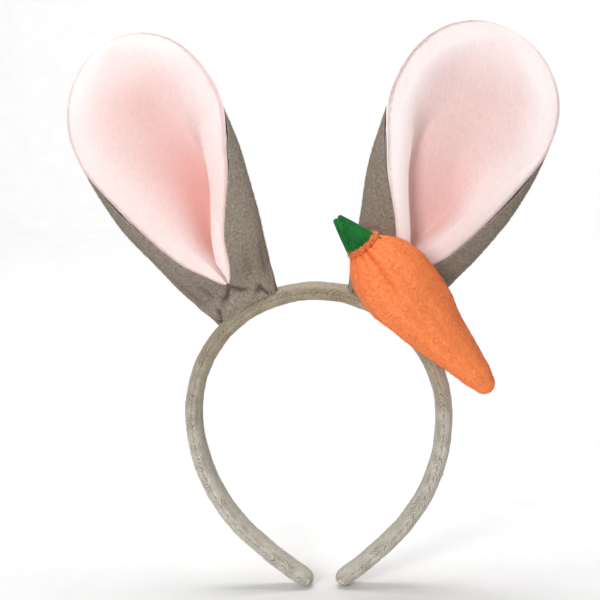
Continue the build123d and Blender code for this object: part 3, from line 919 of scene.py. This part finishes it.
def tilt_blend(piece):
    """Bakes the fabric's placement into its mesh points."""
    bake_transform(piece)


def foot_threads(side, name):
    """Stitches round the foot, each biting from the ear's fabric into the band's cover."""
    paths = []
    spacing = 2 * math.pi / DIMPLES
    for step in range(DIMPLES):
        turn = np.array((step + 0.5) * spacing)
        path = []
        for height, lean in ((2.6, -0.05), (1.8, -0.03), (1.0, 0.0), (0.5, 0.02), (0.1, 0.04)):
            at = np.array(height)
            point, _ = foot_shape(on_form(turn + lean, at, -0.15), turn + lean, at)
            path.append(seat_on_band(place_ear(point, 1.0), at))
        paths.append(np.array(path) * np.array((side, 1.0, 1.0)))
    piece = threads_piece(name, paths, 0.28, GREY_THREAD, 6)
    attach(piece, "crown")
    return piece


# Heights between which the stiffener runs, and how far the grey layer stays behind the pink one.
STIFFENER_FOOT = 36.0
STIFFENER_TOP = 130.0
TOP_GAP = 1.1


def make_ears():
    for side, word in ((1.0, "right"), (-1.0, "left")):
        outer, nap = ear_outer(side, f"{word}_ear_back_plush")
        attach(nap, f"{word}_ear")
        tilt_blend(outer)
        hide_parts(f"{word}_ear_outer", f"{word}_ear_foot_hem")
        lining, nap = ear_lining(side, f"{word}_ear_front_plush")
        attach(nap, f"{word}_ear")
        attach(lining, f"{word}_ear")
        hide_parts(f"{word}_ear_lining")
        ear_hidden(side, word)
        stitches = foot_threads(side, f"{word}_foot_threads")
        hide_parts(f"{word}_ear_foot_stitches")


# ---------------------------------------------------------------- carrot
CARROT_AXIS = unit(CARROT_POINT - CARROT_TOP)
CARROT_LENGTH = float(np.linalg.norm(CARROT_POINT - CARROT_TOP))
CARROT_ACROSS = unit(np.cross(np.array((0.0, 1.0, 0.0)), CARROT_AXIS))
CARROT_BACK = np.cross(CARROT_AXIS, CARROT_ACROSS)
CARROT_RADII = ((0.0, 6.0), (0.03, 9.8), (0.08, 13.8), (0.14, 16.4), (0.22, 17.8), (0.31, 18.0),
                (0.48, 15.4), (0.69, 10.5), (0.88, 7.2), (0.965, 4.6), (1.0, 0.0))
PUCKERS = 11


def on_carrot(points):
    """From the carrot's frame (across, back, along) to the part's frame."""
    return (CARROT_TOP + points[..., :1] * CARROT_ACROSS + points[..., 1:2] * CARROT_BACK
            + points[..., 2:3] * CARROT_AXIS)


def round_axis(radius, turn, along):
    """Points of the carrot's frame at a radius, a turn and a run along the axis."""
    return np.stack((radius * np.cos(turn), radius * np.sin(turn), along), axis=-1)


def carrot_radius(share):
    """Rounded run of radii from the gather to the point."""
    fine = np.linspace(0, 1, 400)
    known = np.array(CARROT_RADII)
    radii = np.interp(fine, known[:, 0], known[:, 1])
    for _ in range(90):
        radii[1:-1] = (radii[:-2] + 2 * radii[1:-1] + radii[2:]) / 4
    tip = np.sqrt(np.clip(1 - ((fine - 0.94) / 0.06) ** 2, 0, 1))
    radii = np.where(fine > 0.94, radii[376] * tip, radii)
    return np.interp(share, fine, radii)


def make_carrot():
    rows = 190
    columns = 190
    share = np.linspace(0, 1, rows) ** 1.15
    turn = np.arange(columns) * 2 * math.pi / columns
    share, turn = np.meshgrid(share, turn, indexing="ij")
    radius = carrot_radius(share)
    along = share * CARROT_LENGTH
    # Puckers: sharp valleys that run from the gather and fade over the shoulder.
    wander = turn + 0.13 * np.sin(2.3 * turn + 1.0) + 0.10 * np.sin(5 * turn + 2.0)
    reach = 8 + 4 * np.sin(3 * turn + 0.7) + 2 * np.sin(7 * turn)
    fade = np.exp(-(along / reach) ** 1.4)
    valley = (1 - np.abs(np.sin(PUCKERS * wander / 2))) ** 1.6
    push = -(0.30 * radius * fade) * valley + 0.05 * radius * fade
    # Long creases down the body: turn at the gather, run of turn over the length, start, end, depth.
    for start, run, low, high, depth in ((5.75, 0.55, 0.05, 0.45, 0.7), (3.35, -0.35, 0.10, 0.5, 0.6),
                                         (4.6, 0.25, 0.0, 0.24, 0.8), (1.4, 0.4, 0.05, 0.45, 0.7)):
        off = wrapped_turn(turn - start - run * share)
        middle = (low + high) / 2
        extent = np.exp(-np.abs((share - middle) / (high - low) * 2) ** 4)
        arc = off * radius
        lips = 0.55 * np.exp(-((np.abs(arc) - 4.5) / 2.6) ** 2)
        push += extent * depth * (-np.exp(-np.abs(arc / 1.8) ** 1.4) + lips)
    flat = round_axis(radius, turn, along)
    lumps = 0.5 * ripple(flat, 17.0, 2.0) + 0.14 * ripple(flat, 6.0, 5.0) + 0.06 * ripple(flat, 1.9, 8.0)
    push += lumps * smooth(radius, 2, 9)
    radius = np.maximum(radius + push, 0.02)
    along = along - 0.9 * np.exp(-(along / 3.0) ** 2) * (1 - valley)
    grid = round_axis(radius, turn, along)
    # The gathered end turns in: three short rings dip inside the neck.
    dip = [np.stack((grid[0, :, 0] * part, grid[0, :, 1] * part, grid[0, :, 2] + drop), axis=-1)
           for part, drop in ((0.18, 2.6), (0.55, 1.9), (0.85, 0.7))]
    grid = np.concatenate((np.stack(dip), grid), axis=0)
    pile = np.stack((np.tile(turn[:1], (grid.shape[0], 1)) * 13, grid[..., 2], 0 * grid[..., 0]), axis=-1)
    core = grid[8::5, ::5] * np.array((0.86, 0.86, 1.0))
    core[..., 2] = core[..., 2] * 0.955 + 1.6
    stuffing = mesh_piece("carrot_fibre_core", on_carrot(core), ring_faces(*core.shape[:2]), FIBRE)
    face_out(stuffing)
    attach(stuffing, "carrot")
    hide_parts("carrot_stuffing")
    skin = mesh_piece("carrot_plush", on_carrot(grid), ring_faces(grid.shape[0], columns), ORANGE,
                      {"pile": pile.reshape(-1, 3)})
    face_out(skin)
    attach(skin, "carrot")
    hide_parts("carrot_skin")
    placed = on_carrot(grid[3:])
    points, normal, nap, chance = surface_spots(placed, CARROT_STRANDS, 41, 0.25 + (1 - valley), wrapped=True)
    outward = np.sign(np.sum(normal * (points - placed.mean(axis=(0, 1))), axis=-1, keepdims=True))
    spots = (points, normal * outward, nap, chance)
    nap_piece = fuzz_piece("carrot_plush_nap", spots, ORANGE_PILE, 0.7, 0.9, 0.09)
    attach(nap_piece, "carrot")
    neck = on_carrot(grid[1:9])
    points, normal, nap, chance = surface_spots(neck, RAW_EDGE_STRANDS, 43, wrapped=True)
    upward = -CARROT_AXIS + 0 * points
    spots = (points, unit(points - CARROT_TOP), upward, chance)
    raw_edge = fuzz_piece("carrot_raw_edge", spots, ORANGE_PILE, 2.3, 1.3, 0.2)
    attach(raw_edge, "carrot")


def make_gather():
    """Thread pulled tight round the neck, in two uneven turns."""
    turns = np.linspace(0, 4 * math.pi, 120)
    radius = 4.6 + 0.25 * np.sin(PUCKERS * turns)
    rise = -0.2 + 0.5 * turns / (4 * math.pi)
    flat = round_axis(radius, turns, rise)
    piece = threads_piece("carrot_gather_cord", [on_carrot(flat)], 0.45, ORANGE_THREAD, 8)
    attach(piece, "carrot")
    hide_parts("carrot_gather_thread")


def make_leaf(name, node, swing, lift, length, root, curl):
    """One felt triangle, a little curved, with softly rounded corners."""
    rows = 40
    columns = 30
    up = np.linspace(0, 1, rows)[:, None]
    side = np.linspace(-1, 1, columns)[None, :]
    half = root / 2 * ((1 - up) ** 0.92 * 0.97 + 0.03 * np.sqrt(np.clip(1 - up, 0, 1)))
    x = side * half + length * math.sin(swing) * up
    y = lift + curl * np.sin(up * 1.9) * 3.0 - 0.9 * (side ** 2) * (1 - up) + 0 * side
    z = 2.2 - up * length * math.cos(swing) + 0 * side
    grid = np.stack((x, y, z), axis=-1)
    grid[..., 1] += 0.25 * ripple(grid, 7.0, swing * 10)
    pile = np.stack((x, z, 0 * x), axis=-1)
    piece = layer_piece(name, on_carrot(grid), 1.2, GREEN, pile)
    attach(piece, "carrot")
    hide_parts(node)
    return piece


def make_tack():
    """Three shanks of thread, as long as the CAD stitches. They end just short of the carrot."""
    low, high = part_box("carrot_tack_stitches")
    paths = []
    for step in range(3):
        share = (step + 0.5) / 3
        x = (low.x + (high.x - low.x) * share) / MM
        z = (high.z + (low.z - high.z) * share) / MM
        ends = np.linspace(low.y / MM, high.y / MM, 9)
        paths.append(np.array([(x + 0.25 * math.sin(3 * place), place, z) for place in ends]))
    piece = threads_piece("carrot_tack_threads", paths, 0.5, ORANGE_THREAD, 8)
    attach(piece, "crown")
    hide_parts("carrot_tack_stitches")


def finish_cad_nodes():
    """Materials of the hidden pieces that keep their CAD shape."""
    for name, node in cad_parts.items():
        for word, material in (("core", PLASTIC), ("sponge", FOAM)):
            if word in name:
                node.data.materials.clear()
                node.data.materials.append(material)


# ---------------------------------------------------------------- camera, light and floor
CAMERA_AZIMUTH = math.radians(5.436)
CAMERA_ELEVATION = math.radians(10.0)
CAMERA_ROLL = math.radians(-2.297)
CAMERA_DISTANCE = 0.900
CAMERA_TARGET = Vector((-0.006747, 0.0, -0.000385))
CAMERA_VIEW = math.radians(18.27)


def make_camera():
    data = bpy.data.cameras.new("camera")
    data.angle = CAMERA_VIEW
    data.clip_end = 20
    camera = bpy.data.objects.new("camera", data)
    bpy.context.scene.collection.objects.link(camera)
    level = math.cos(CAMERA_ELEVATION)
    back = Vector((math.sin(CAMERA_AZIMUTH) * level, -math.cos(CAMERA_AZIMUTH) * level,
                   math.sin(CAMERA_ELEVATION)))
    right = Vector((math.cos(CAMERA_AZIMUTH), math.sin(CAMERA_AZIMUTH), 0))
    up = back.cross(right)
    side = right * math.cos(CAMERA_ROLL) + up * math.sin(CAMERA_ROLL)
    head = up * math.cos(CAMERA_ROLL) - right * math.sin(CAMERA_ROLL)
    place = Matrix((side, head, back)).transposed().to_4x4()
    place.translation = CAMERA_TARGET + back * CAMERA_DISTANCE
    camera.matrix_world = place
    bpy.context.scene.camera = camera


def soft_light(name, place, size, power, aim=(0.0, 0.0, 0.0)):
    """A square area light, aimed at the middle of the part unless aim says otherwise."""
    data = bpy.data.lights.new(name, "AREA")
    data.size = size
    data.energy = power
    light = bpy.data.objects.new(name, data)
    light.location = place
    light.rotation_euler = (Vector(aim) - Vector(place)).to_track_quat("-Z", "Y").to_euler()
    bpy.context.scene.collection.objects.link(light)


def make_studio():
    """Pale floor that curves up into a pale wall behind, and soft light from the front."""
    scene = bpy.context.scene
    scene.view_settings.view_transform = "Standard"
    scene.world = bpy.data.worlds.new("studio")
    scene.world.use_nodes = True
    sky = scene.world.node_tree.nodes["Background"]
    sky.inputs["Color"].default_value = (1.0, 0.99, 0.98, 1)
    sky.inputs["Strength"].default_value = 0.24
    soft_light("key", (-0.4, -1.5, 0.5), 0.5, 15.0)
    soft_light("fill", (0.9, -1.3, 0.1), 0.9, 1.5)
    soft_light("backdrop", (0.0, 0.25, 1.6), 1.2, 30.0, aim=(0.0, 1.6, 0.3))
    floor_height = cad_box[0][2] - 0.0005
    look = Nodes("studio_floor", Roughness=0.9)
    grain = look.noise(look.object_place(), 40.0, 2.0)
    look.colour(look.ramp(grain, ((0.3, (0.86, 0.86, 0.86, 1)), (0.7, (0.89, 0.89, 0.89, 1)))))
    bend = 0.5
    wall = 1.2
    profile = [(-3.0, 0.0), (wall, 0.0)]
    profile += [(wall + bend * math.sin(turn), bend - bend * math.cos(turn))
                for turn in np.linspace(0.1, math.pi / 2, 14)]
    profile.append((wall + bend, 3.5))
    points = []
    for x in (-4.0, 4.0):
        points += [(x, y, floor_height + z) for y, z in profile]
    count = len(profile)
    faces = [(i, i + 1, count + i + 1, count + i) for i in range(count - 1)]
    floor = mesh_piece("studio_floor", np.array(points) / MM, faces, look.material)


make_camera()
make_studio()
make_band()
make_ears()
make_carrot()
make_gather()
make_leaf("carrot_felt_leaf_front", "carrot_leaf_front", -0.03, -1.4, 21.5, 16.5, -0.35)
make_leaf("carrot_felt_leaf_back", "carrot_leaf_back", 0.13, 1.4, 20.5, 17.5, 0.3)
make_tack()
finish_cad_nodes()
